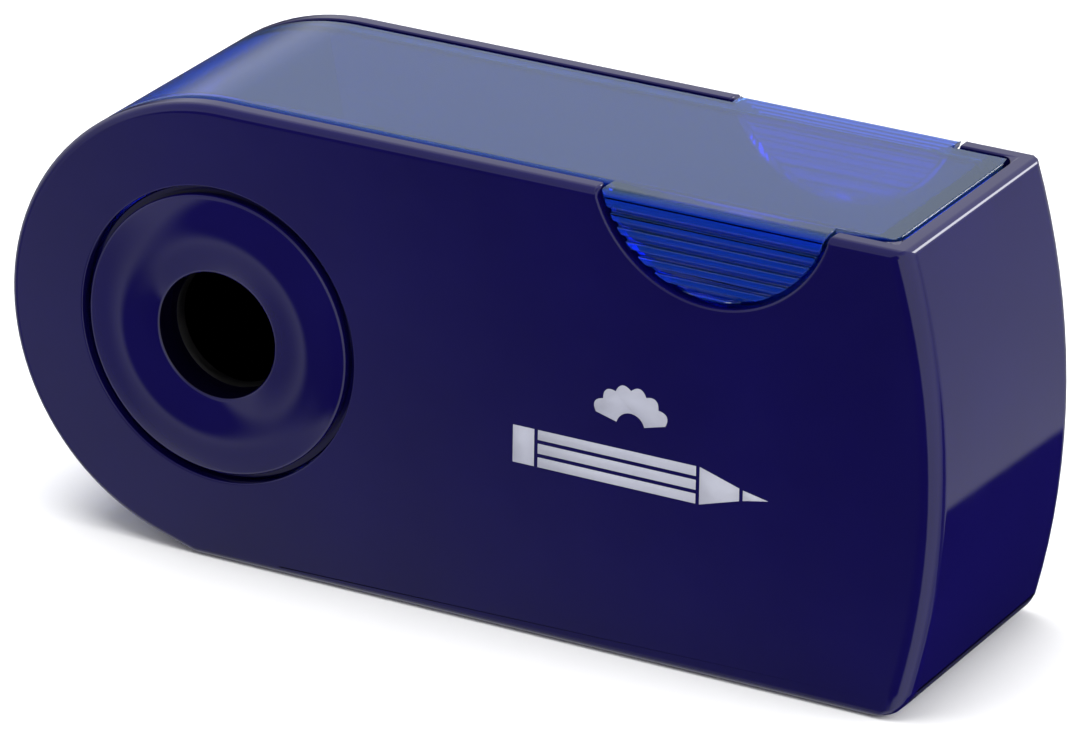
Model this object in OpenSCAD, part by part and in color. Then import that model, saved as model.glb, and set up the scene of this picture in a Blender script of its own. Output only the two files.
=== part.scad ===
// Pocket pencil sharpener: a shavings container that swivels out of an outer sleeve about two hub discs.
// Millimetres, +Z up, X along the length, the pencil enters the front hub along +Y.
// The origin is the middle of the footprint, on the surface that the sleeve stands on.

/* [Case] */
// Front to back over the two side walls of the sleeve
case_depth = 19.4; // [18.5:0.1:24]
// Radius of the round nose, which is also the height of the top above the hub axis
nose_r = 15.35; // [14.5:0.05:15.45]
// Drop from the hub axis to the surface that the sleeve stands on
base_drop = 15.5; // [15.5:0.05:17]
// Reach from the hub axis to the furthest point of the end wall
end_reach = 50.6; // [46:0.1:60]
// Radius of the outer arc of the end wall, seen from the front
end_arc_r = 52.5; // [48:0.5:80]
// Drop from the hub axis to the middle of that arc
end_arc_drop = 1.1; // [0:0.1:3]
// Thickness of the side walls and the floor of the sleeve
wall = 1.35; // [1.1:0.05:1.6]
// Radius of the rounded edges between the side walls and the end wall
end_edge_r = 1.4; // [0.8:0.1:1.8]
// Radius of the lower corner of the end, seen from the front
foot_corner_r = 2.0; // [1:0.1:4]
// Lean of the short straight that joins the round nose to the foot
nose_foot_lean = 17; // [12:1:20]
// Radius of the other outer edges of the sleeve
rim_r = 0.6; // [0.2:0.05:0.8]
// Gap between the container and the sleeve on every side
swing_gap = 0.3; // [0.25:0.05:0.4]

/* [Notches and grip pads] */
// Distance of the notch centres from the hub axis along the top
notch_x = 34.75; // [30:0.25:37]
// Radius of the notches
notch_r = 8.25; // [6:0.25:9]
// Height of the centre of the notch arc above the top of the case
notch_rise = 2.1; // [0:0.1:4]
// How far the face of each grip pad lies below the side wall of the sleeve
pad_recess = 0.3; // [0.1:0.05:0.8]
// Radius of the top edge of the grip pads
pad_edge_r = 0.6; // [0.2:0.05:0.8]
// Number of grip grooves across each pad
groove_count = 6; // [3:1:8]
// Spacing of the grip grooves
groove_pitch = 0.82; // [0.7:0.02:0.9]
// Width of each grip groove
groove_w = 0.34; // [0.2:0.02:0.5]
// Depth of each grip groove
groove_depth = 0.3; // [0.1:0.05:0.5]

/* [Container] */
// Thickness of the container walls
shell_wall = 1.2; // [1:0.05:1.5]
// Thickness of the container end wall
shell_end_wall = 1.95; // [1.9:0.05:2.5]
// Radius of the upright edges of the container end
shell_edge_r = 1.6; // [1:0.1:1.6]
// How far the walls are thinned to seat the back plate
rebate = 0.6; // [0.4:0.05:0.8]

/* [Hub discs] */
// Diameter of the pencil hole
hole_d = 8.4; // [8:0.1:9]
// Radius of the opening in each side wall of the sleeve, which is the bearing
bearing_r = 9.95; // [9:0.05:10.5]
// Running clearance of the hub journal in that bearing, on the radius
bearing_gap = 0.07; // [0.03:0.01:0.1]
// Width of the ring groove between the hub disc and the sleeve
ring_groove_w = 0.55; // [0.3:0.05:0.8]
// Depth of that groove below the side wall
ring_groove_depth = 0.8; // [0.4:0.1:1]
// How far the crest of the hub disc stands proud of the side wall
crest = 0.45; // [0.2:0.05:0.6]
// Radius of the hub spigots that sit in the container walls
spigot_r = 7.45; // [7:0.05:8]

/* [Sharpener] */
// Depth of the cone that the pencil is sharpened in
cone_len = 15.2; // [14.6:0.1:15.2]
// Half of the angle of the cone
cone_half_angle = 12.9; // [12:0.1:13.5]
// Radius of the round ends of the sharpener that sit in the hubs
seat_r = 5.6; // [5.2:0.1:5.8]
// Thickness of the blade
blade_t = 0.5; // [0.4:0.05:0.6]
// Width of the blade from its edge to its back
blade_w = 6.6; // [6:0.1:7]
// Length of the blade along its edge
blade_len = 11.2; // [10:0.1:11.5]
// Width of the ground bevel that ends in the cutting edge
bevel_w = 1.4; // [1:0.1:2]

/* [Hidden] */

$fn = 96;
eps = 0.01;
far = 80;                         // longer than the case, for cuts that go right through
fit = 0.05;                       // clearance where two pieces of the container seat in each other

half_depth = case_depth / 2;
hub_x = (nose_r - end_reach) / 2;
hub_z = base_drop;
arc_x = end_reach - end_arc_r;    // middle of the outer arc of the end wall, from the hub axis
end_wall = 1.45;                  // thickness of the end wall of the sleeve where it reaches furthest
floor_top = wall - base_drop;     // top of the sleeve floor, from the hub axis
nose_foot_x = -nose_r * sin(nose_foot_lean)
    + (base_drop - nose_r * cos(nose_foot_lean)) / tan(nose_foot_lean);  // where the nose meets the foot
floor_start_x = 4.6;              // where the floor starts beside the nose of the container
nose_overlap = 0.1;               // how far inside the nose circle the lean of the nose starts

shell_half = half_depth - wall - swing_gap;
shell_end_r = end_reach - end_wall - swing_gap;
shell_rim_z = floor_top + swing_gap;
nose_lip_x = 4.2;                 // where the nose wall of the container ends underneath
plate_in = shell_half - shell_wall;
plate_step = 0.3;                 // how much further than the hollow the back plate reaches into the end
first_groove_drop = 1.5;          // from the top of the container to the top grip groove
pad_half = half_depth - pad_recess;
pad_r = notch_r - swing_gap;
pad_root = 0.1;                   // how far the pads reach into the container walls

hub_disc_r = bearing_r - ring_groove_w;
journal_r = bearing_r - bearing_gap;
journal_top = half_depth - ring_groove_depth;
hub_web = 7.6;                    // from the middle of the case to the faces that the sharpener seats on
spigot_end = plate_in - 0.6;      // the spigots reach a little past the container walls
hub_floor = 0.6;                  // how far the closed middle of the back disc lies below its face
crest_r = (hole_d / 2 + hub_disc_r) / 2;
crest_half = (hub_disc_r - hole_d / 2) / 2;
crest_arc_r = (crest_half * crest_half + crest * crest) / (2 * crest);

cone_mouth_r = hole_d / 2 + fit;
cone_tip_r = cone_mouth_r - cone_len * tan(cone_half_angle);
block_half = spigot_end - 0.1;    // half length of the block between the two hub spigots
block_left = -5.6;                // corner and size of the block's section about the hub axis
block_low = -7.2;
block_size = [12, 12.6];
block_edge = 0.8;
block_turned_r = 8.4;             // the corners of the block are turned down to this radius
edge_t = 0.06;                    // thickness left at the cutting edge
flat_bite = 0.25;                 // how far the blade flat cuts into the cone
front_ring = 1.6;                 // closed ring of the sharpener ahead of the flat
chip_slot_depth = 1.1;            // slot beside the cutting edge, where the shaving comes out
chip_slot_w = 2.2;
screw_s = 7.4;                    // place of the screw along the flat and across it
screw_z = -4.0;
screw_r = 1.2;
screw_len = 3.4;
screw_head_r = 2.2;
screw_head_h = 0.9;
blade_hole_gap = 0.15;            // clearance of the screw in the blade's hole, on the radius
drive_slot = [0.4, 0.5];          // depth and width of the slot in the screw head

navy = [0.07, 0.06, 0.30];
clear_blue = [0.05, 0.22, 0.75, 0.65];
magnesium = [0.72, 0.73, 0.75];
steel = [0.82, 0.83, 0.85];
zinc = [0.66, 0.66, 0.67];

// Places a shape that is drawn about the hub axis
module at_hub() { translate([hub_x, 0, hub_z]) children(); }

// A plate between two depths, from an outline drawn as seen from the front
module slab(front, back) {
    translate([0, back, 0]) rotate([90, 0, 0]) linear_extrude(back - front) children();
}

// A solid of revolution about the hub axis, with its profile's height towards the front
module turned() { rotate([90, 0, 0]) rotate_extrude() children(); }

// Half section of a disc whose outer corners are rounded
module disc_section(radius, half, edge) {
    translate([0, -half + edge]) square([radius, 2 * (half - edge)]);
    translate([0, -half]) square([radius - edge, 2 * half]);
    for (side = [-1, 1]) translate([radius - edge, side * (half - edge)]) circle(edge, $fn = 48);
}

// Rounded rectangle with its lower left corner at the origin
module round_rect(size, edge) {
    translate([edge, 0]) square([size[0] - 2 * edge, size[1]]);
    translate([0, edge]) square([size[0], size[1] - 2 * edge]);
    for (px = [edge, size[0] - edge], py = [edge, size[1] - edge])
        translate([px, py]) circle(edge, $fn = 48);
}

// The foot corner of the end wall: what lies outside an arc that touches the foot and the end arc
module foot_corner_waste() {
    corner_z = foot_corner_r - base_drop;
    rise = corner_z + end_arc_drop;
    corner_x = arc_x + sqrt(pow(end_arc_r - foot_corner_r, 2) - rise * rise);
    lean = asin(rise / (end_arc_r - foot_corner_r));
    reach = 3 * foot_corner_r;
    translate([corner_x, corner_z]) difference() {
        polygon([[0, 0], [0, -reach], [reach, -reach], [reach * cos(lean), reach * sin(lean)]]);
        circle(foot_corner_r, $fn = 48);
    }
}

// Side view of the sleeve about the hub axis
module sleeve_outline() {
    lean_r = nose_r - nose_overlap;
    circle(nose_r, $fn = 180);
    polygon([[0, 0], [-lean_r * sin(nose_foot_lean), -lean_r * cos(nose_foot_lean)],
             [nose_foot_x, -base_drop], [1, -base_drop]]);
    difference() {
        intersection() {
            translate([nose_foot_x, -base_drop]) square([far, base_drop + nose_r]);
            union() {
                translate([arc_x, -end_arc_drop]) circle(end_arc_r, $fn = 240);
                translate([nose_foot_x, -base_drop]) square([far / 4, base_drop + nose_r]);
            }
        }
        translate([nose_foot_x - far, 0]) square([far, far]);
        foot_corner_waste();
    }
}

// Straight stretch of the case from a given place to past the end, with its long edges rounded
module straight_block(from_x, height, half = half_depth, edge = rim_r) {
    translate([from_x, -half, -base_drop]) rotate([90, 0, 90])
        linear_extrude(far) round_rect([2 * half, height], edge);
}

// Outside of the sleeve as a solid, with its edges rounded
module sleeve_block() {
    intersection() {
        slab(-half_depth, half_depth) sleeve_outline();
        union() {
            turned() disc_section(nose_r, half_depth, rim_r);
            intersection() {
                union() {
                    straight_block(0, base_drop + nose_r);
                    straight_block(-nose_r * sin(nose_foot_lean), base_drop / 2);
                }
                translate([arc_x, 0, -end_arc_drop])
                    turned() disc_section(end_arc_r, half_depth, end_edge_r);
            }
        }
    }
}

// Space inside the sleeve: open above and at the nose
module sleeve_cavity() {
    gap_r = nose_r + swing_gap;
    inner_half = half_depth - wall;
    intersection() {
        slab(-inner_half, inner_half) {
            translate([-far / 2, -far / 2]) square([far / 2 + floor_start_x, far]);
            circle(gap_r, $fn = 180);
            translate([0, floor_top]) square([far, far]);
        }
        turned() disc_section(shell_end_r + swing_gap, inner_half + eps, shell_edge_r + swing_gap);
    }
}

module sleeve() color(navy) at_hub() difference() {
    sleeve_block();
    sleeve_cavity();
    slab(-far, far) circle(bearing_r, $fn = 180);
    slab(-far, far) translate([notch_x, nose_r + notch_rise]) circle(notch_r, $fn = 120);
}

// Side view of the container, drawn in from its outside by an inset
module shell_outline(inset) {
    circle(nose_r - inset, $fn = 180);
    translate([0, shell_rim_z]) square([far, nose_r - inset - shell_rim_z]);
}

// Space inside the container, drawn in by an inset and open underneath
module shell_hollow(inset) {
    circle(nose_r - inset, $fn = 180);
    square([far, nose_r - inset]);
    translate([nose_lip_x, -far]) square([far, far + nose_r - inset]);
}

// Grip pad of the container between two heights. It fills the notch in the front wall of the sleeve for
// side -1, or in the back wall for side 1.
module grip_pad(side, low, high) {
    root = shell_half - pad_root;
    intersection() {
        slab(side < 0 ? -pad_half : root, side < 0 ? -root : pad_half) intersection() {
            translate([notch_x, nose_r + notch_rise]) circle(pad_r, $fn = 120);
            translate([notch_x - notch_r, low]) square([2 * notch_r, high - low]);
        }
        straight_block(0, base_drop + nose_r, pad_half, pad_edge_r);
    }
}

// Grip grooves across one pad, cut down from the face at the given depth
module grip_grooves(face, inward) {
    slab(min(face, face + inward), max(face, face + inward))
        for (i = [0 : groove_count - 1])
            translate([notch_x - notch_r, nose_r - first_groove_drop - i * groove_pitch])
                square([2 * notch_r, groove_w]);
}

module container_shell() color(clear_blue) at_hub() difference() {
    union() {
        intersection() {
            slab(-shell_half, shell_half) shell_outline(0);
            turned() disc_section(shell_end_r, shell_half, shell_edge_r);
        }
        grip_pad(-1, -base_drop, nose_r);
        grip_pad(1, nose_r - rebate, nose_r);
    }
    intersection() {
        slab(-plate_in, plate_in + eps) shell_hollow(shell_wall);
        turned() disc_section(shell_end_r - shell_end_wall, far, eps);
    }
    intersection() {
        slab(plate_in, far) shell_hollow(rebate);
        turned() disc_section(shell_end_r - shell_end_wall + plate_step, far, eps);
    }
    slab(-far, 0) circle(spigot_r + fit);
    grip_grooves(-pad_half - eps, groove_depth + eps);
}

module container_back() color(clear_blue) at_hub() difference() {
    union() {
        intersection() {
            slab(plate_in, shell_half) shell_outline(rebate + fit);
            turned() disc_section(shell_end_r - shell_end_wall + plate_step - fit, far, eps);
        }
        grip_pad(1, -base_drop, nose_r - rebate - fit);
    }
    slab(0, far) circle(spigot_r + fit);
    grip_grooves(pad_half + eps, -groove_depth - eps);
}

// Half section of a hub disc with the ring crest, the journal, and the spigot that holds the sharpener
module hub_section() {
    translate([hole_d / 2, hub_web]) square([hub_disc_r - hole_d / 2, half_depth - hub_web - eps]);
    intersection() {
        translate([hole_d / 2, journal_top]) square([hub_disc_r - hole_d / 2, far]);
        translate([crest_r, half_depth + crest - crest_arc_r]) circle(crest_arc_r, $fn = 180);
    }
    translate([hole_d / 2, shell_half]) square([journal_r - hole_d / 2, journal_top - shell_half]);
    translate([seat_r + fit, spigot_end]) square([spigot_r - seat_r - fit, hub_web - spigot_end + eps]);
}

// What is cut away beside the spigot, so that the journal rests on the container wall
module hub_waste() {
    translate([spigot_r, 0]) square([far, shell_half]);
}

module front_hub() color(navy) at_hub() turned() difference() {
    hub_section();
    hub_waste();
}

module back_hub() color(navy) at_hub() mirror([0, 1, 0]) turned() difference() {
    union() {
        hub_section();
        translate([0, hub_web]) square([hole_d / 2 + eps, half_depth - hub_web - hub_floor]);
    }
    hub_waste();
}

// Places a shape on the blade flat: X out of the flat, Y along the edge of the blade
module on_flat() {
    translate([cone_mouth_r - flat_bite, -hub_web, 0]) rotate([0, 0, cone_half_angle]) children();
}

// A pin along the normal of the blade flat at the place of the screw
module screw_pin(radius, from, to) {
    on_flat() translate([from, screw_s, screw_z]) rotate([0, 90, 0])
        cylinder(h = to - from, r = radius, $fn = 64);
}

module sharpener_body() color(magnesium) at_hub() difference() {
    union() {
        slab(-hub_web, hub_web) circle(seat_r);
        intersection() {
            slab(-block_half, block_half) translate([block_left, block_low])
                round_rect(block_size, block_edge);
            slab(-block_half, block_half) circle(block_turned_r);
        }
    }
    translate([0, -hub_web - eps, 0]) rotate([-90, 0, 0])
        cylinder(h = cone_len + 2 * eps, r1 = cone_mouth_r, r2 = cone_tip_r, $fn = 96);
    on_flat() translate([0, front_ring, -far / 2]) cube([far, far, far]);
    on_flat() translate([-chip_slot_depth, front_ring + 0.5, 0])
        cube([far, cone_len - front_ring - 2.5, chip_slot_w]);
    screw_pin(screw_r + fit, -screw_len - 0.4, 1);
}

module blade() color(steel) at_hub() difference() {
    on_flat() translate([eps, front_ring + 0.3, -blade_w]) slab(0, blade_len)
        polygon([[0, 0], [blade_t, 0], [blade_t, blade_w - bevel_w], [edge_t, blade_w], [0, blade_w]]);
    screw_pin(screw_r + blade_hole_gap, -1, 2);
}

module blade_screw() color(zinc) at_hub() difference() {
    union() {
        screw_pin(screw_r, -screw_len, blade_t + 3 * eps);
        screw_pin(screw_head_r, blade_t + 2 * eps, blade_t + screw_head_h);
    }
    on_flat() translate([blade_t + screw_head_h - drive_slot[0], screw_s - drive_slot[1] / 2, screw_z - 4])
        cube([1, drive_slot[1], 8]);
}

sleeve();
container_shell();
container_back();
front_hub();
back_hub();
sharpener_body();
blade();
blade_screw();
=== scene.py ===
"""Looks of the pocket pencil sharpener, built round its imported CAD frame.

Shapes are drawn in millimetres as seen from the front, about the hub axis: x to the right, z up.
Depth runs along +Y, away from the pencil hole, and every mesh is made in metres.
"""
import math

import bmesh
import bpy
from mathutils import Matrix, Vector
from mathutils.geometry import delaunay_2d_cdt


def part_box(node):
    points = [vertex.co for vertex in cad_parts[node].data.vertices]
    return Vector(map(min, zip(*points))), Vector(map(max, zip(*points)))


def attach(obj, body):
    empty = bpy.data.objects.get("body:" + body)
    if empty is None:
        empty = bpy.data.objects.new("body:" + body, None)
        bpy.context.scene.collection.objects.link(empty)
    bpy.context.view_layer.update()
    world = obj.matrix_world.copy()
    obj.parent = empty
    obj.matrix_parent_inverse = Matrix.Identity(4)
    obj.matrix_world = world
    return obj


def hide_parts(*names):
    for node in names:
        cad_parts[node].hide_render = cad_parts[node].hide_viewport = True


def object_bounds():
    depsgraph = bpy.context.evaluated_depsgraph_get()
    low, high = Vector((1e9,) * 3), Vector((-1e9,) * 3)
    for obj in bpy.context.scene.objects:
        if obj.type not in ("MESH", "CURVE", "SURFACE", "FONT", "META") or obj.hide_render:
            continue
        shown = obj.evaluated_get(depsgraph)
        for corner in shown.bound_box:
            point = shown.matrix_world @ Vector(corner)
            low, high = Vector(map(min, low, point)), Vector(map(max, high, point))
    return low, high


MM = 0.001
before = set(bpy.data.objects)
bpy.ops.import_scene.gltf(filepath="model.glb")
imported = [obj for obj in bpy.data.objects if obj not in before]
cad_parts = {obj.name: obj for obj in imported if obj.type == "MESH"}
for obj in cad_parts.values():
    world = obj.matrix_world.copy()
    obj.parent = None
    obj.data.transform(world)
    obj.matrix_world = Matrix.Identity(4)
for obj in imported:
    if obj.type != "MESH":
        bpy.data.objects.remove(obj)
cad_low, cad_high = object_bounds()

# ---------------------------------------------------------------- sizes, in millimetres
sleeve_low, sleeve_high = (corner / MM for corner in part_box("sleeve"))
shell_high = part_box("container_shell")[1] / MM
hub_low, hub_high = (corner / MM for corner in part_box("front_hub"))
hub_x, hub_z = (hub_low.x + hub_high.x) / 2, (hub_low.z + hub_high.z) / 2

SLEEVE_HALF = sleeve_high.y
NOSE_R = hub_x - sleeve_low.x
BASE_DROP = hub_z - sleeve_low.z
END_REACH = sleeve_high.x - hub_x
END_ARC_R = 52.5
END_ARC_DROP = 1.1
ARC_X = END_REACH - END_ARC_R
WALL = 1.35
FOOT_CORNER_R = 2.0
NOSE_FOOT_LEAN = math.radians(17)
SWING_GAP = 0.3
BEARING_R = 9.95
FLOOR_START_X = 4.6
FLOOR_TOP = WALL - BASE_DROP

NOTCH_X = 34.75
NOTCH_R = 8.25
NOTCH_Z = NOSE_R + 2.1
GROOVES = 6
GROOVE_PITCH = 0.82
GROOVE_W = 0.34
GROOVE_DEPTH = 0.3
FIRST_GROOVE_DROP = 1.5

SHELL_HALF = SLEEVE_HALF - WALL - SWING_GAP
PAD_HALF = shell_high.y
PAD_R = NOTCH_R - SWING_GAP
SHELL_WALL = 1.2
SHELL_END_R = shell_high.x - hub_x
SHELL_END_WALL = 1.95
SHELL_RIM_Z = FLOOR_TOP + SWING_GAP
NOSE_LIP_X = 4.2
REBATE = 0.6
PLATE_GAP = 0.05
PLATE_STEP = 0.3
SPIGOT_HOLE_R = 7.5
FAR = 80.0                          # past the end of the case, for outlines that reach beyond it
ARC_STEP = math.radians(3)
END_STEP = math.radians(2)
NOTCH_STEP = math.radians(4)
BORE_SIDES = 120
SPIGOT_SIDES = 96
PLATE_END_SIDES = 240


# ---------------------------------------------------------------- flat curves
def arc(cx, cz, radius, start, stop, step=ARC_STEP):
    """Points on an arc between two angles, both ends included."""
    count = max(2, round(abs(stop - start) / step) + 1)
    turns = (start + (stop - start) * i / (count - 1) for i in range(count))
    return [(cx + radius * math.cos(t), cz + radius * math.sin(t)) for t in turns]


def circle(cx, cz, radius, count):
    turns = (2 * math.pi * i / count for i in range(count))
    return [(cx + radius * math.cos(t), cz + radius * math.sin(t)) for t in turns]


def bar(left, right, low, high):
    return [(left, low), (right, low), (right, high), (left, high)]


def sleeve_outline():
    """Counter-clockwise from the foot: end arc, top, nose, and the lean down to the foot."""
    low = math.asin((END_ARC_DROP - BASE_DROP) / END_ARC_R)
    top = math.asin((NOSE_R + END_ARC_DROP) / END_ARC_R)
    kink_x = (BASE_DROP - NOSE_R / math.cos(NOSE_FOOT_LEAN)) / math.tan(NOSE_FOOT_LEAN)
    points = [(kink_x, -BASE_DROP), (FLOOR_START_X, -BASE_DROP)]
    points += arc(ARC_X, -END_ARC_DROP, END_ARC_R, low, top, END_STEP)
    points += arc(0, 0, NOSE_R, math.pi / 2, 1.5 * math.pi - NOSE_FOOT_LEAN)
    return points


def sleeve_hollow():
    """What is cut out between the side walls: open at the top, at the nose and under the nose."""
    gap_r = NOSE_R + SWING_GAP
    inner_r = SHELL_END_R + SWING_GAP
    floor_start, floor_end = -math.acos(FLOOR_START_X / gap_r), math.asin(FLOOR_TOP / gap_r)
    low, top = math.asin(FLOOR_TOP / inner_r), math.asin(NOSE_R / inner_r)
    floor_arc = arc(0, 0, gap_r, floor_start, floor_end, END_STEP)
    end_arc = arc(0, 0, inner_r, low, top, END_STEP)
    points = [(-FAR, -FAR), (FLOOR_START_X, -FAR), *floor_arc, *end_arc]
    return points + [(end_arc[-1][0], FAR), (-FAR, FAR)]


def notch_arc(radius):
    """The part of a circle round the notch's centre that lies below the top of the case."""
    side = math.asin((NOSE_R - NOTCH_Z) / radius)
    return arc(NOTCH_X, NOTCH_Z, radius, -math.pi - side, side, NOTCH_STEP)


def notch_outline():
    """The bite of the notch, with sides that run straight up past the top."""
    bite, past_top = notch_arc(NOTCH_R), NOSE_R + 5
    return bite + [(bite[-1][0], past_top), (bite[0][0], past_top)]


def shell_outline(inset):
    """Side view of the container, drawn in by an inset: nose circle, lower rim, end arc and top."""
    nose, end, rim, top = NOSE_R - inset, SHELL_END_R - inset, SHELL_RIM_Z + inset, NOSE_R - inset
    points = arc(0, 0, end, math.asin(rim / end), math.asin(top / end), END_STEP)
    points += arc(0, 0, nose, math.pi / 2, 2 * math.pi + math.asin(rim / nose))
    return points


def shell_hollow(inset, end_wall):
    """The inside of the container, open underneath behind the nose lip."""
    nose, end, top = NOSE_R - inset, SHELL_END_R - end_wall, NOSE_R - inset
    low = 2 * math.pi - math.acos(NOSE_LIP_X / nose)
    below_rim = math.radians(18)
    points = [(NOSE_LIP_X, -FAR), (end * math.cos(below_rim), -FAR)]
    points += arc(0, 0, end, -below_rim, math.asin(top / end), END_STEP)
    return points + arc(0, 0, nose, math.pi / 2, low)


def grip_grooves():
    """Straight grooves right across the grip pads, which fill the notches up to the top of the case."""
    grooves = {}
    for i in range(GROOVES):
        low = NOSE_R - FIRST_GROOVE_DROP - i * GROOVE_PITCH
        grooves[f"groove_{i}"] = bar(NOTCH_X - NOTCH_R, NOTCH_X + NOTCH_R, low, low + GROOVE_W)
    return grooves


# ---------------------------------------------------------------- meshes
CELLS_WITHOUT_HOLES = 4             # the kind of result asked of delaunay_2d_cdt
SAME_POINT = 1e-5


def new_piece(name, bm, body, mat, slot, *replaced):
    """A mesh object from a bmesh drawn in millimetres about the hub axis, riding on its body."""
    bmesh.ops.scale(bm, vec=(MM, MM, MM), verts=bm.verts)
    bmesh.ops.translate(bm, vec=(hub_x * MM, 0, hub_z * MM), verts=bm.verts)
    mesh = bpy.data.meshes.new(name)
    bm.to_mesh(mesh)
    bm.free()
    mesh.materials.append(mat)
    for polygon in mesh.polygons:
        polygon.use_smooth = True
    piece = bpy.data.objects.new(name, mesh)
    bpy.context.scene.collection.objects.link(piece)
    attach(piece, body)
    if replaced:
        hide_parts(*replaced)
    return piece


def layered(curves, layers):
    """A solid of layers along Y. curves is {name: points}; each layer is (front, back, rule), and the rule
    says from the names of the curves that hold a cell whether the cell is solid there."""
    names, points, faces = list(curves), [], []
    for name in names:
        faces.append(list(range(len(points), len(points) + len(curves[name]))))
        points += [Vector(p) for p in curves[name]]
    flat, _, cells, _, _, held = delaunay_2d_cdt(points, [], faces, CELLS_WITHOUT_HOLES, SAME_POINT)
    solid = []
    for holders in held:
        inside = {names[i] for i in holders}
        solid.append([bool(inside) and rule(inside) for _, _, rule in layers])
    depths = [layers[0][0]] + [back for _, back, _ in layers]
    bm = bmesh.new()
    corners = {}

    def corner(i, level):
        if (i, level) not in corners:
            corners[i, level] = bm.verts.new((flat[i].x, depths[level], flat[i].y))
        return corners[i, level]

    sides = {}
    for cell, filled in zip(cells, solid):
        for level in range(len(depths)):
            before = level > 0 and filled[level - 1]
            after = level < len(layers) and filled[level]
            if before != after:
                order = cell if after else list(reversed(cell))
                bm.faces.new([corner(i, level) for i in order])
        for a, b in zip(cell, cell[1:] + cell[:1]):
            sides[a, b] = filled
    empty = [False] * len(layers)
    for (a, b), left in sides.items():
        right = sides.get((b, a), empty)
        for k in range(len(layers)):
            if left[k] and not right[k]:
                bm.faces.new([corner(a, k), corner(a, k + 1), corner(b, k + 1), corner(b, k)])
    join_flat_faces(bm)
    return bm


def join_flat_faces(bm, flat=math.radians(0.3)):
    """Joins neighbours that lie in one plane, those furthest from the hub first, and drops the points that
    are then in the middle of a straight edge."""
    bm.normal_update()
    for edge in sorted(bm.edges, key=lambda e: -sum((v.co for v in e.verts), Vector()).length):
        if not edge.is_valid or len(edge.link_faces) != 2:
            continue
        one, other = edge.link_faces
        if one.normal.angle(other.normal) > flat:
            continue
        seam = set(one.edges) & set(other.edges)
        seam_points = {v for e in seam for v in e.verts}
        if len(seam_points) == len(seam) + 1 and seam_points == set(one.verts) & set(other.verts):
            bmesh.utils.face_join((one, other), False)
    bmesh.ops.delete(bm, geom=[e for e in bm.edges if not e.link_faces], context="EDGES")
    loose = [v for v in bm.verts if len(v.link_edges) == 2 and v.calc_edge_angle(0) < flat]
    bmesh.ops.dissolve_verts(bm, verts=loose)
    bm.normal_update()


def weigh_edges(bm, radius_of, widest, sharp=math.radians(11)):
    """Gives each sharp edge its share of the widest bevel. radius_of takes the middle of an edge, the kind
    of the edge (front to back, or in a plane) and whether it is convex."""
    weight = bm.edges.layers.float.new("bevel_weight_edge")
    bm.normal_update()
    for edge in bm.edges:
        if len(edge.link_faces) != 2 or edge.calc_face_angle(0) < sharp:
            continue
        a, b = (v.co for v in edge.verts)
        radius = radius_of((a + b) / 2, abs(a.y - b.y) > 0.01, edge.calc_face_angle_signed(0) > 0)
        edge[weight] = radius / widest


def round_edges(piece, widest, segments):
    bevel = piece.modifiers.new("rounded_edges", "BEVEL")
    bevel.width = widest * MM
    bevel.segments = segments
    bevel.limit_method = "WEIGHT"
    bevel.use_clamp_overlap = False
    bevel.miter_outer = "MITER_SHARP"
    normals = piece.modifiers.new("flat_faces_stay_flat", "WEIGHTED_NORMAL")
    normals.mode = "FACE_AREA"
    normals.weight = 100
    normals.keep_sharp = True


def lathe(profile, count=128):
    """A closed ring or disc: the profile's points are (radius, distance in front of the middle)."""
    bm = bmesh.new()
    rings = []
    for radius, out in profile:
        if radius < 1e-6:
            rings.append([bm.verts.new((0, -out, 0))] * count)
            continue
        turns = (2 * math.pi * i / count for i in range(count))
        rings.append([bm.verts.new((radius * math.cos(t), -out, radius * math.sin(t))) for t in turns])
    for inner, outer in zip(rings, rings[1:] + rings[:1]):
        for i in range(count):
            j = (i + 1) % count
            around = list(dict.fromkeys([inner[i], inner[j], outer[j], outer[i]]))
            if len(around) > 2:
                bm.faces.new(around)
    bmesh.ops.recalc_face_normals(bm, faces=bm.faces)
    return bm


# ---------------------------------------------------------------- materials
def new_material(name):
    mat = bpy.data.materials.new(name)
    mat.use_nodes = True
    return mat, mat.node_tree, mat.node_tree.nodes["Principled BSDF"]


def add(tree, kind, **values):
    """A node with some of its inputs or settings filled in."""
    node = tree.nodes.new(kind)
    for key, value in values.items():
        if key in node.inputs:
            node.inputs[key].default_value = value
        else:
            setattr(node, key, value)
    return node


def colour_sockets(sockets):
    return [socket for socket in sockets if socket.type == "RGBA"]


def noise(tree, scale, detail):
    """Noise in the piece's own space, with a scale in waves per millimetre."""
    place = add(tree, "ShaderNodeTexCoord")
    made = add(tree, "ShaderNodeTexNoise", Scale=scale / MM, Detail=detail)
    tree.links.new(place.outputs["Object"], made.inputs["Vector"])
    return made


def spread(tree, source, low, high):
    """A value that runs from low to high over the middle of a noise."""
    made = add(tree, "ShaderNodeMapRange", **{"From Min": 0.3, "From Max": 0.7},
               **{"To Min": low, "To Max": high})
    tree.links.new(source.outputs["Fac"], made.inputs["Value"])
    return made


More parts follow.
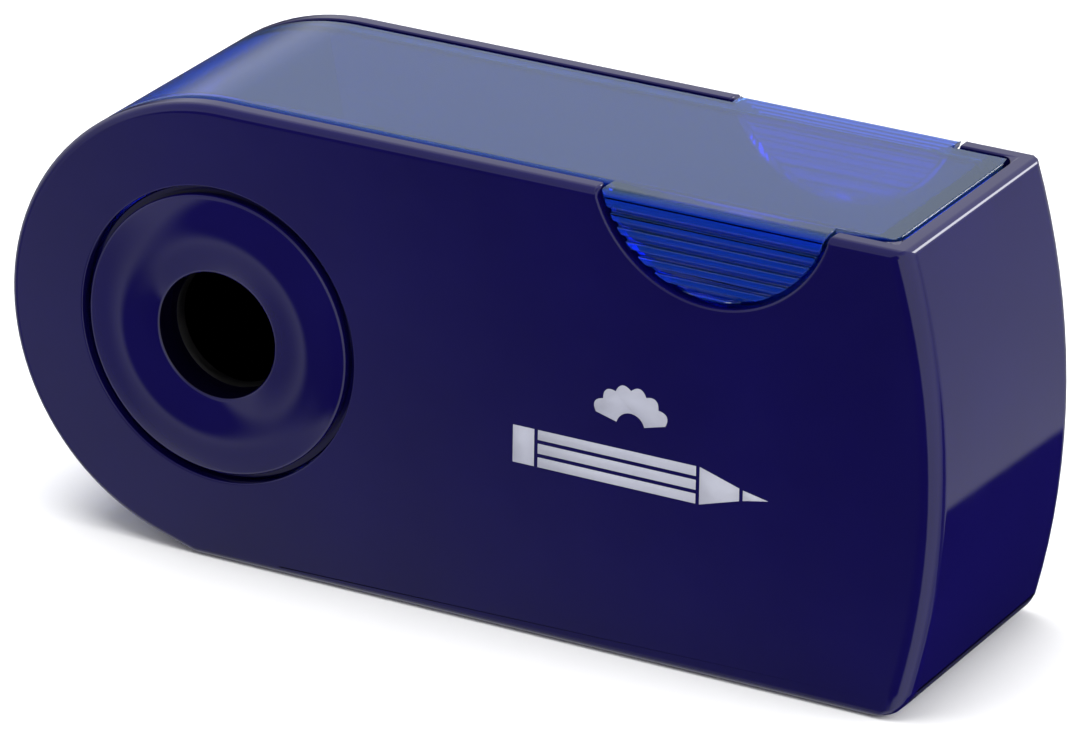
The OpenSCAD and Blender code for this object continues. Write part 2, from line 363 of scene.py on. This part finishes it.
def moulded(name, dark, light, rough_low, rough_high, ripple):
    """A smooth moulded surface: faint flow marks in the colour, uneven gloss and a slight ripple."""
    mat, tree, shader = new_material(name)
    flow = noise(tree, 0.09, 3.0)
    ramp = add(tree, "ShaderNodeValToRGB")
    ramp.color_ramp.elements[0].position = 0.3
    ramp.color_ramp.elements[0].color = (*dark, 1)
    ramp.color_ramp.elements[1].position = 0.7
    ramp.color_ramp.elements[1].color = (*light, 1)
    tree.links.new(flow.outputs["Fac"], ramp.inputs["Fac"])
    tree.links.new(ramp.outputs["Color"], shader.inputs["Base Color"])
    haze = spread(tree, noise(tree, 0.5, 4.0), rough_low, rough_high)
    tree.links.new(haze.outputs["Result"], shader.inputs["Roughness"])
    bump = add(tree, "ShaderNodeBump", Strength=ripple, Distance=0.02 * MM)
    tree.links.new(noise(tree, 0.35, 1.0).outputs["Fac"], bump.inputs["Height"])
    tree.links.new(bump.outputs["Normal"], shader.inputs["Normal"])
    shader.inputs["IOR"].default_value = 1.5
    return mat


def navy_plastic(name):
    return moulded(name, (0.0034, 0.0019, 0.052), (0.0042, 0.0025, 0.062), 0.03, 0.06, 0.10)


def blue_plastic():
    """Tinted plastic, clear on top. Faces turned to the side, the side walls that carry the grip pads, get
    a deeper blue and less transmission: painted light, for the glow that light passing through the case
    gives them.
    """
    mat = moulded("blue_plastic", (0.10, 0.33, 0.80), (0.12, 0.36, 0.83), 0.03, 0.07, 0.08)
    tree = mat.node_tree
    shader = tree.nodes["Principled BSDF"]
    clear_tint = shader.inputs["Base Color"].links[0].from_socket
    place = add(tree, "ShaderNodeTexCoord")
    sideways = add(tree, "ShaderNodeVectorMath", operation="DOT_PRODUCT")
    sideways.inputs[1].default_value = (0, 1, 0)
    facing = add(tree, "ShaderNodeMath", operation="ABSOLUTE")
    # Painted light: faces turned to the side get the deeper side colour and less transmission.
    painted_side_light_share = add(tree, "ShaderNodeMapRange", **{"From Min": 0.4, "From Max": 0.9})
    clear = add(tree, "ShaderNodeMapRange", **{"To Min": 0.92, "To Max": 0.72})
    tint = add(tree, "ShaderNodeMix", data_type="RGBA")
    top_colour, painted_side_light_colour = colour_sockets(tint.inputs)
    painted_side_light_colour.default_value = (0.004, 0.075, 0.76, 1)
    tree.links.new(clear_tint, top_colour)
    tree.links.new(place.outputs["Normal"], sideways.inputs[0])
    tree.links.new(sideways.outputs["Value"], facing.inputs[0])
    tree.links.new(facing.outputs["Value"], painted_side_light_share.inputs["Value"])
    tree.links.new(painted_side_light_share.outputs["Result"], clear.inputs["Value"])
    tree.links.new(painted_side_light_share.outputs["Result"], tint.inputs["Factor"])
    tree.links.new(clear.outputs["Result"], shader.inputs["Transmission Weight"])
    tree.links.new(colour_sockets(tint.outputs)[0], shader.inputs["Base Color"])
    shader.inputs["IOR"].default_value = 1.49
    depth_tint = add(tree, "ShaderNodeVolumeAbsorption")
    depth_tint.inputs["Color"].default_value = (0.02, 0.36, 0.905, 1)
    depth_tint.inputs["Density"].default_value = 0.9 / MM
    tree.links.new(depth_tint.outputs["Volume"], tree.nodes["Material Output"].inputs["Volume"])
    return mat


def metal(name, dark, light, rough_low, rough_high, streak_scale):
    """Metal with a grain of noise, drawn out into machining marks where the scales of its axes differ."""
    mat, tree, shader = new_material(name)
    shader.inputs["Metallic"].default_value = 1
    place = add(tree, "ShaderNodeTexCoord")
    stretch = add(tree, "ShaderNodeMapping")
    stretch.inputs["Scale"].default_value = streak_scale
    grain = add(tree, "ShaderNodeTexNoise", Scale=1 / MM, Detail=4.0)
    tree.links.new(place.outputs["Object"], stretch.inputs["Vector"])
    tree.links.new(stretch.outputs["Vector"], grain.inputs["Vector"])
    ramp = add(tree, "ShaderNodeValToRGB")
    ramp.color_ramp.elements[0].color = (*dark, 1)
    ramp.color_ramp.elements[1].color = (*light, 1)
    tree.links.new(grain.outputs["Fac"], ramp.inputs["Fac"])
    tree.links.new(ramp.outputs["Color"], shader.inputs["Base Color"])
    haze = spread(tree, grain, rough_low, rough_high)
    tree.links.new(haze.outputs["Result"], shader.inputs["Roughness"])
    bump = add(tree, "ShaderNodeBump", Strength=0.25, Distance=0.02 * MM)
    tree.links.new(grain.outputs["Fac"], bump.inputs["Height"])
    tree.links.new(bump.outputs["Normal"], shader.inputs["Normal"])
    return mat


def shade_and_graphite_in_hole(mat, cone_r, fade, dark):
    """Darkens a material inside the pencil hole and the cone: painted shade of the deep hole, which on the
    metal cone also stands for the graphite that pencils leave.
    """
    tree = mat.node_tree
    base = tree.nodes["Principled BSDF"].inputs["Base Color"]
    place = add(tree, "ShaderNodeTexCoord")
    offset = add(tree, "ShaderNodeVectorMath", operation="SUBTRACT")
    offset.inputs[1].default_value = (hub_x * MM, 0, hub_z * MM)
    flat = add(tree, "ShaderNodeVectorMath", operation="MULTIPLY")
    flat.inputs[1].default_value = (1, 0, 1)
    length = add(tree, "ShaderNodeVectorMath", operation="LENGTH")
    share = add(tree, "ShaderNodeMapRange", **{"From Min": (cone_r - fade) * MM, "From Max": cone_r * MM})
    mix = add(tree, "ShaderNodeMix", data_type="RGBA")
    dark_in, light_in = colour_sockets(mix.inputs)
    dark_in.default_value = (*dark, 1)
    tree.links.new(base.links[0].from_socket, light_in)
    tree.links.new(place.outputs["Object"], offset.inputs[0])
    tree.links.new(offset.outputs["Vector"], flat.inputs[0])
    tree.links.new(flat.outputs["Vector"], length.inputs[0])
    tree.links.new(length.outputs["Value"], share.inputs["Value"])
    tree.links.new(share.outputs["Result"], mix.inputs["Factor"])
    tree.links.new(colour_sockets(mix.outputs)[0], base)
    return mat


navy = navy_plastic("navy_plastic")
# Painted shade: the wall of the front disc's pencil hole turns near-black navy.
hub_navy = shade_and_graphite_in_hole(navy_plastic("hub_navy_plastic"), 4.27, 0.05, (0.0010, 0.0006, 0.006))
blue = blue_plastic()
alloy = metal("magnesium_alloy", (0.30, 0.30, 0.31), (0.46, 0.46, 0.48), 0.32, 0.5, (0.4, 4.0, 0.4))
# Painted shade of the deep hole on the cutter's cone, with graphite there too.
alloy = shade_and_graphite_in_hole(alloy, 4.3, 0.3, (0.012, 0.012, 0.013))
steel = metal("blade_steel", (0.45, 0.46, 0.48), (0.62, 0.63, 0.65), 0.16, 0.3, (4.0, 0.3, 4.0))
ink = moulded("pale_ink", (0.40, 0.41, 0.50), (0.48, 0.49, 0.57), 0.38, 0.5, 0.2)
zinc = metal("zinc_plate", (0.50, 0.50, 0.50), (0.66, 0.66, 0.65), 0.25, 0.4, (1.5, 1.5, 1.5))


# ---------------------------------------------------------------- sleeve
RIM_R = 0.6                         # outer edges of the side walls, and the kink under the nose
END_EDGE_R = 1.4                    # upright edges between the side walls and the end wall
END_TOP_R = 0.45                    # top edge of the end wall
INNER_END_R = 1.3                   # upright corners inside the end wall
INNER_FOOT_R = 0.4                  # corners between the floor and the side walls
CROSS_FILLET_R = 0.5                # inside corners that run from front to back
NOTCH_EDGE_R = 0.2
SMALL_EDGE_R = 0.12
FINE_EDGE_R = 0.1


def near(value, target, slack=0.06):
    return abs(value - target) < slack


def sleeve_radius(mid, across, convex):
    """Radius of each edge of the sleeve, in millimetres."""
    outer = near(abs(mid.y), SLEEVE_HALF)
    from_hub = math.hypot(mid.x, mid.z)
    on_notch = near(math.hypot(mid.x - NOTCH_X, mid.z - NOTCH_Z), NOTCH_R) and mid.z < NOSE_R - 0.05
    at_end = mid.x > SHELL_END_R - 2.0
    if across:
        if not convex:
            return CROSS_FILLET_R
        if at_end and mid.z < 0:
            return FOOT_CORNER_R
        if mid.x > END_REACH - 3.0 and from_hub > SHELL_END_R + 1.0:
            return END_TOP_R
        return RIM_R if mid.x < 0 else SMALL_EDGE_R
    if not convex:
        above_floor = mid.x > SHELL_END_R - 5.0 and mid.z > FLOOR_TOP + 0.3
        return INNER_END_R if above_floor else INNER_FOOT_R
    if near(from_hub, BEARING_R):
        return SMALL_EDGE_R if outer else FINE_EDGE_R
    if on_notch:
        return NOTCH_EDGE_R
    if not outer:
        return SMALL_EDGE_R
    return END_EDGE_R if at_end and mid.z < NOSE_R - 0.01 else RIM_R


def make_sleeve():
    curves = {"outline": sleeve_outline(), "hollow": sleeve_hollow(),
              "bore": circle(0, 0, BEARING_R, BORE_SIDES), "notch": notch_outline()}

    def in_wall(inside):
        return "outline" in inside and not inside & {"bore", "notch"}

    def in_strip(inside):
        return "outline" in inside and "hollow" not in inside

    inner = SLEEVE_HALF - WALL
    bm = layered(curves, [(-SLEEVE_HALF, -inner, in_wall), (-inner, inner, in_strip),
                          (inner, SLEEVE_HALF, in_wall)])
    weigh_edges(bm, sleeve_radius, FOOT_CORNER_R)
    piece = new_piece("sleeve_moulding", bm, "sleeve", navy, "sleeve_plastic", "sleeve")
    round_edges(piece, FOOT_CORNER_R, 6)


# ---------------------------------------------------------------- container
SHELL_EDGE_R = 1.6                  # upright edges at the container's end
SHELL_TOP_R = 0.3                   # edges between the top or the nose and the side walls
PAD_EDGE_R = 0.6                    # top edge of the grip pads
CHAMBER_R = 0.5                     # inside corners of the chamber


def shell_radius(mid, across, convex):
    """Radius of each edge of the container, in millimetres."""
    depth = abs(mid.y)
    from_hub = math.hypot(mid.x, mid.z)
    on_top = mid.z > NOSE_R - 0.1
    on_face = near(depth, SHELL_HALF)
    if across:
        return FINE_EDGE_R if depth > SHELL_HALF + 0.01 else SMALL_EDGE_R
    if not convex:
        return SMALL_EDGE_R if depth > SHELL_HALF - 0.01 else CHAMBER_R
    if near(depth, PAD_HALF):
        return PAD_EDGE_R if on_top else FINE_EDGE_R
    if on_face and near(from_hub, SHELL_END_R, 0.1) and mid.z > SHELL_RIM_Z + 0.5:
        return SHELL_EDGE_R
    if on_face and (on_top or near(from_hub, NOSE_R, 0.1)):
        return SHELL_TOP_R
    return FINE_EDGE_R


def on_pad(inside):
    return "pad" in inside


def on_ribs(inside):
    return "pad" in inside and not any(name.startswith("groove") for name in inside)


def make_container():
    curves = {"outline": shell_outline(0), "hollow": shell_hollow(SHELL_WALL, SHELL_END_WALL),
              "step": shell_hollow(REBATE, SHELL_END_WALL - PLATE_STEP), "pad": notch_arc(PAD_R),
              "spigot": circle(0, 0, SPIGOT_HOLE_R, SPIGOT_SIDES), **grip_grooves()}

    def front_wall(inside):
        return "outline" in inside and "spigot" not in inside

    def strip(inside):
        return "outline" in inside and "hollow" not in inside

    def rim(inside):
        return "outline" in inside and "step" not in inside

    def back_pad(inside):
        return on_pad(inside) and "step" not in inside

    face, inner, groove = SHELL_HALF, SHELL_HALF - SHELL_WALL, PAD_HALF - GROOVE_DEPTH
    bm = layered(curves, [(-PAD_HALF, -groove, on_ribs), (-groove, -face, on_pad),
                          (-face, -inner, front_wall), (-inner, inner, strip), (inner, face, rim),
                          (face, PAD_HALF, back_pad)])
    weigh_edges(bm, shell_radius, SHELL_EDGE_R)
    piece = new_piece("container_shell_moulding", bm, "container", blue, "container_plastic",
                      "container_shell")
    round_edges(piece, SHELL_EDGE_R, 4)


def make_back_plate():
    top = NOSE_R - REBATE - PLATE_GAP
    plate_end_r = SHELL_END_R - SHELL_END_WALL + PLATE_STEP - PLATE_GAP
    curves = {"plate": shell_outline(REBATE + PLATE_GAP),
              "spigot": circle(0, 0, SPIGOT_HOLE_R, SPIGOT_SIDES),
              "end": circle(0, 0, plate_end_r, PLATE_END_SIDES),
              "pad": notch_arc(PAD_R), "below": bar(0, FAR, -FAR, top), **grip_grooves()}

    def plate(inside):
        return {"plate", "end"} <= inside and "spigot" not in inside

    def pad(inside):
        return on_pad(inside) and "below" in inside

    def ribs(inside):
        return on_ribs(inside) and "below" in inside

    face, inner, groove = SHELL_HALF, SHELL_HALF - SHELL_WALL, PAD_HALF - GROOVE_DEPTH
    bm = layered(curves, [(inner, face, plate), (face, groove, pad), (groove, PAD_HALF, ribs)])
    weigh_edges(bm, lambda mid, across, convex: FINE_EDGE_R, SHELL_EDGE_R)
    piece = new_piece("container_back_moulding", bm, "container", blue, "container_plastic",
                      "container_back")
    round_edges(piece, SHELL_EDGE_R, 3)


# ---------------------------------------------------------------- hub discs
HOLE_R = 4.2
DISC_R = BEARING_R - 0.55
JOURNAL_R = BEARING_R - 0.07
CREST = -hub_low.y - SLEEVE_HALF
CREST_ROLL = 0.16                   # radius that rolls over the edges of the crest
HUB_WEB = 7.6
SPIGOT_R = 7.45
SPIGOT_END = SHELL_HALF - SHELL_WALL - 0.6
SPIGOT_CHAMFER = 0.15
JOURNAL_CHAMFER = 0.1
SEAT_R = 5.65
GROOVE_FLOOR = SLEEVE_HALF - 0.8
BACK_FLOOR = SLEEVE_HALF - 0.6      # floor of the closed hole in the back disc
BACK_FLOOR_CHAMFER = 0.2
SHARP_CORNER = math.radians(35)


def crest_points(count=28):
    """The soft crest of a disc, from its inner lip to its outer edge, with both edges rolled over."""
    half = (DISC_R - HOLE_R) / 2
    middle = HOLE_R + half
    curve_r = (half**2 + CREST**2) / (2 * CREST)
    points = []
    for i in range(count + 1):
        radius = middle - half * math.cos(math.pi * i / count)
        out = SLEEVE_HALF + CREST - curve_r + math.sqrt(curve_r**2 - (radius - middle) ** 2)
        edge = max(0.0, min(radius - HOLE_R, DISC_R - radius))
        if edge < CREST_ROLL:
            out -= CREST_ROLL - math.sqrt(CREST_ROLL**2 - (CREST_ROLL - edge) ** 2)
        points.append((radius, out))
    return points


def hub_back_points():
    """The hidden side of a disc, from the foot of the ring groove round to the web."""
    return [(DISC_R, GROOVE_FLOOR), (JOURNAL_R - JOURNAL_CHAMFER, GROOVE_FLOOR),
            (JOURNAL_R, GROOVE_FLOOR - JOURNAL_CHAMFER), (JOURNAL_R, SHELL_HALF), (SPIGOT_R, SHELL_HALF),
            (SPIGOT_R, SPIGOT_END + SPIGOT_CHAMFER), (SPIGOT_R - SPIGOT_CHAMFER, SPIGOT_END),
            (SEAT_R, SPIGOT_END), (SEAT_R, HUB_WEB)]


def make_hubs():
    bm = lathe(crest_points() + hub_back_points() + [(HOLE_R, HUB_WEB)])
    front = new_piece("front_hub_disc", bm, "container", hub_navy, "hub_plastic", "front_hub")
    floor = [(0, BACK_FLOOR), (HOLE_R - BACK_FLOOR_CHAMFER, BACK_FLOOR),
             (HOLE_R, BACK_FLOOR + BACK_FLOOR_CHAMFER)]
    bm = lathe(floor + crest_points() + hub_back_points() + [(0, HUB_WEB)])
    bmesh.ops.scale(bm, vec=(1, -1, 1), verts=bm.verts)
    bmesh.ops.reverse_faces(bm, faces=bm.faces)
    back = new_piece("back_hub_disc", bm, "container", navy, "hub_plastic", "back_hub")
    for piece in (front, back):
        split = piece.modifiers.new("sharp_corners", "EDGE_SPLIT")
        split.split_angle = SHARP_CORNER


# ---------------------------------------------------------------- print on the front
PRINT_RISE = 0.02
SCALLOPS = 6
SCALLOP_RISE = 0.32
SCALLOP_POINTS = 8


def shaving_outline(cx, cz, inner_r, outer_r):
    """A curl of pencil shaving: part of a ring whose outer edge is scalloped."""
    start, stop = math.radians(15), math.radians(165)
    count = SCALLOPS * SCALLOP_POINTS
    rim = []
    for i in range(count + 1):
        turn = start + (stop - start) * i / count
        radius = outer_r + SCALLOP_RISE * abs(math.sin(math.pi * SCALLOPS * i / count))
        rim.append((cx + radius * math.cos(turn), cz + radius * math.sin(turn)))
    return rim + arc(cx, cz, inner_r, stop, start, step=math.radians(8))


def make_print():
    """A plain pencil and a shaving, in place of the print that the front of the real one carries."""
    low, line, gap, lines = -3.9, 0.66, 0.26, 3
    high = low + lines * line + (lines - 1) * gap
    left, rear, neck, nib, tip = 21.4, 22.9, 34.2, 37.2, 39.2
    middle, nib_half, point_half = (low + high) / 2, 0.42, 0.34
    curl_x, curl_z, curl_inner_r, curl_outer_r = 29.6, 0.1, 1.0, 2.5
    curves = {"end": bar(left, rear, low, high)}
    for i in range(lines):
        at = low + i * (line + gap)
        curves[f"line_{i}"] = bar(rear + gap, neck, at, at + line)
    curves["wood"] = [(neck + gap, low), (nib, middle - nib_half), (nib, middle + nib_half),
                      (neck + gap, high)]
    curves["point"] = [(nib + gap, middle - point_half), (tip, middle), (nib + gap, middle + point_half)]
    curves["curl"] = shaving_outline(curl_x, curl_z, curl_inner_r, curl_outer_r)
    bm = layered(curves, [(-SLEEVE_HALF - PRINT_RISE, -SLEEVE_HALF + PRINT_RISE, bool)])
    new_piece("front_print", bm, "sleeve", ink, "sleeve_plastic")


# ---------------------------------------------------------------- CAD nodes that stay
def dress_cad_nodes():
    """The sharpener itself keeps its CAD shape and gets machined metal."""
    for name, mat in (("sharpener_body", alloy), ("blade", steel), ("blade_screw", zinc)):
        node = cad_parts[name]
        node.data.materials.clear()
        node.data.materials.append(mat)


make_sleeve()
make_container()
make_back_plate()
make_hubs()
make_print()
dress_cad_nodes()


# ---------------------------------------------------------------- studio
FLOOR_HALF = 3.0                    # metres

# Round patches of the studio's light, each laid over those before it: the direction of its middle, the
# angles in degrees at which it starts and ends fading out, and its radiance, where the studio's own is 1.
PATCHES = (
    ((-0.60, -0.70, -0.40), 35, 75, 0.66),          # softly dimmer in front on the left
    ((-0.20, -0.35, 0.90), 25, 60, 0.5),            # dimmer overhead
    ((-0.45, 0.81, 0.38), 22, 40, 0.88),            # behind, where the flat top mirrors it
    ((0.3, 0.75, -0.6), 40, 62, 0.5),               # dimmer low behind
    ((0.25, 0.55, -0.8), 28.8, 29.4, 0.01),         # dark card whose crisp edge crosses the end wall
    ((-0.087, -0.992, -0.087), 27.3, 33.8, 0.05),   # dark card that keeps the gloss of the front deep
    ((0.24, -0.89, -0.39), 14, 22, 0.03),           # dark card for the front half of the upright edge
    ((-0.80, -0.46, -0.38), 4, 27, 0.22),           # dim card for the slopes of the hub disc
    ((-0.34, -0.62, -0.70), 4, 22, 0.42),           # dim card for the disc's lower slopes
    ((0.755, 0.53, -0.39), 8, 13, 0.08),            # dark card for the end half of the upright edge
    ((-0.62, 0.70, -0.35), 14, 34, 0.06),           # dark card for the round nose
    ((-0.22, 0.80, -0.55), 10, 20, 0.04),           # dark card for the foot of the end wall
    ((0.38, 0.81, 0.45), 5, 9, 9.0),                # lamp for the bright line along the end's top edge
)


def make_floor():
    """A plain pale floor, large enough to fill every view."""
    bm = bmesh.new()
    bmesh.ops.create_grid(bm, x_segments=8, y_segments=8, size=FLOOR_HALF)
    mesh = bpy.data.meshes.new("floor")
    bm.to_mesh(mesh)
    bm.free()
    mesh.materials.append(
        moulded("pale_floor", (0.925, 0.925, 0.935), (0.935, 0.935, 0.945), 0.85, 0.95, 0.05))
    floor = bpy.data.objects.new("floor", mesh)
    bpy.context.scene.collection.objects.link(floor)
    floor.visible_glossy = False


def make_world():
    """White studio light, with the patches of light and dark that the gloss of the plastic mirrors."""
    world = bpy.data.worlds.new("studio")
    bpy.context.scene.world = world
    world.use_nodes = True
    tree = world.node_tree
    place = add(tree, "ShaderNodeTexCoord")
    background = tree.nodes["Background"]
    background.inputs["Color"].default_value = (1, 1, 1, 1)
    light = None
    for direction, start, end, radiance in PATCHES:
        nearness = add(tree, "ShaderNodeVectorMath", operation="DOT_PRODUCT")
        nearness.inputs[1].default_value = Vector(direction).normalized()
        tree.links.new(place.outputs["Generated"], nearness.inputs[0])
        fade = {"From Min": math.cos(math.radians(end)), "From Max": math.cos(math.radians(start))}
        share = add(tree, "ShaderNodeMapRange", interpolation_type="SMOOTHSTEP", **fade)
        tree.links.new(nearness.outputs["Value"], share.inputs["Value"])
        over = add(tree, "ShaderNodeMix", data_type="FLOAT", A=1.0, B=radiance)
        tree.links.new(share.outputs["Result"], over.inputs["Factor"])
        if light:
            tree.links.new(light.outputs["Result"], over.inputs["A"])
        light = over
    tree.links.new(light.outputs["Result"], background.inputs["Strength"])


def make_lamp(name, place, size, watts):
    """A soft lamp at a place in metres, aimed at the origin. It doesn't show in the gloss."""
    data = bpy.data.lights.new(name, "AREA")
    data.shape = "DISK"
    data.size = size
    data.energy = watts
    lamp = bpy.data.objects.new(name, data)
    bpy.context.scene.collection.objects.link(lamp)
    lamp.location = place
    lamp.visible_glossy = False
    lamp.rotation_mode = "QUATERNION"
    lamp.rotation_quaternion = (-Vector(place)).to_track_quat("-Z", "Y")


def make_camera():
    """A long lens in front, some way round to the end wall and above, with a slight roll."""
    azimuth, elevation, roll = (math.radians(degrees) for degrees in (28.32, 22.81, 0.90))
    distance = 494.3 * MM
    aim = (cad_low + cad_high) / 2 + Vector((0.45, 0, -1.84)) * MM
    level = math.cos(elevation)
    back = Vector((math.sin(azimuth) * level, -math.cos(azimuth) * level, math.sin(elevation)))
    right = Vector((math.cos(azimuth), math.sin(azimuth), 0))
    up = back.cross(right)
    cam_x = math.cos(roll) * right + math.sin(roll) * up
    cam_y = -math.sin(roll) * right + math.cos(roll) * up
    data = bpy.data.cameras.new("camera")
    data.lens, data.sensor_width = 260.2, 36
    data.clip_start, data.clip_end = 0.01, 20
    cam = bpy.data.objects.new("camera", data)
    bpy.context.scene.collection.objects.link(cam)
    turn = Matrix((cam_x, cam_y, back)).transposed().to_4x4()
    cam.matrix_world = Matrix.Translation(aim + back * distance) @ turn
    bpy.context.scene.camera = cam


make_floor()
make_world()
make_lamp("soft_top_light", (-0.10, -0.05, 0.60), 0.5, 3.8)
make_lamp("soft_end_light", (0.50, 0.12, 0.20), 0.4, 1.6)
make_camera()
bpy.context.scene.view_settings.view_transform = "Standard"
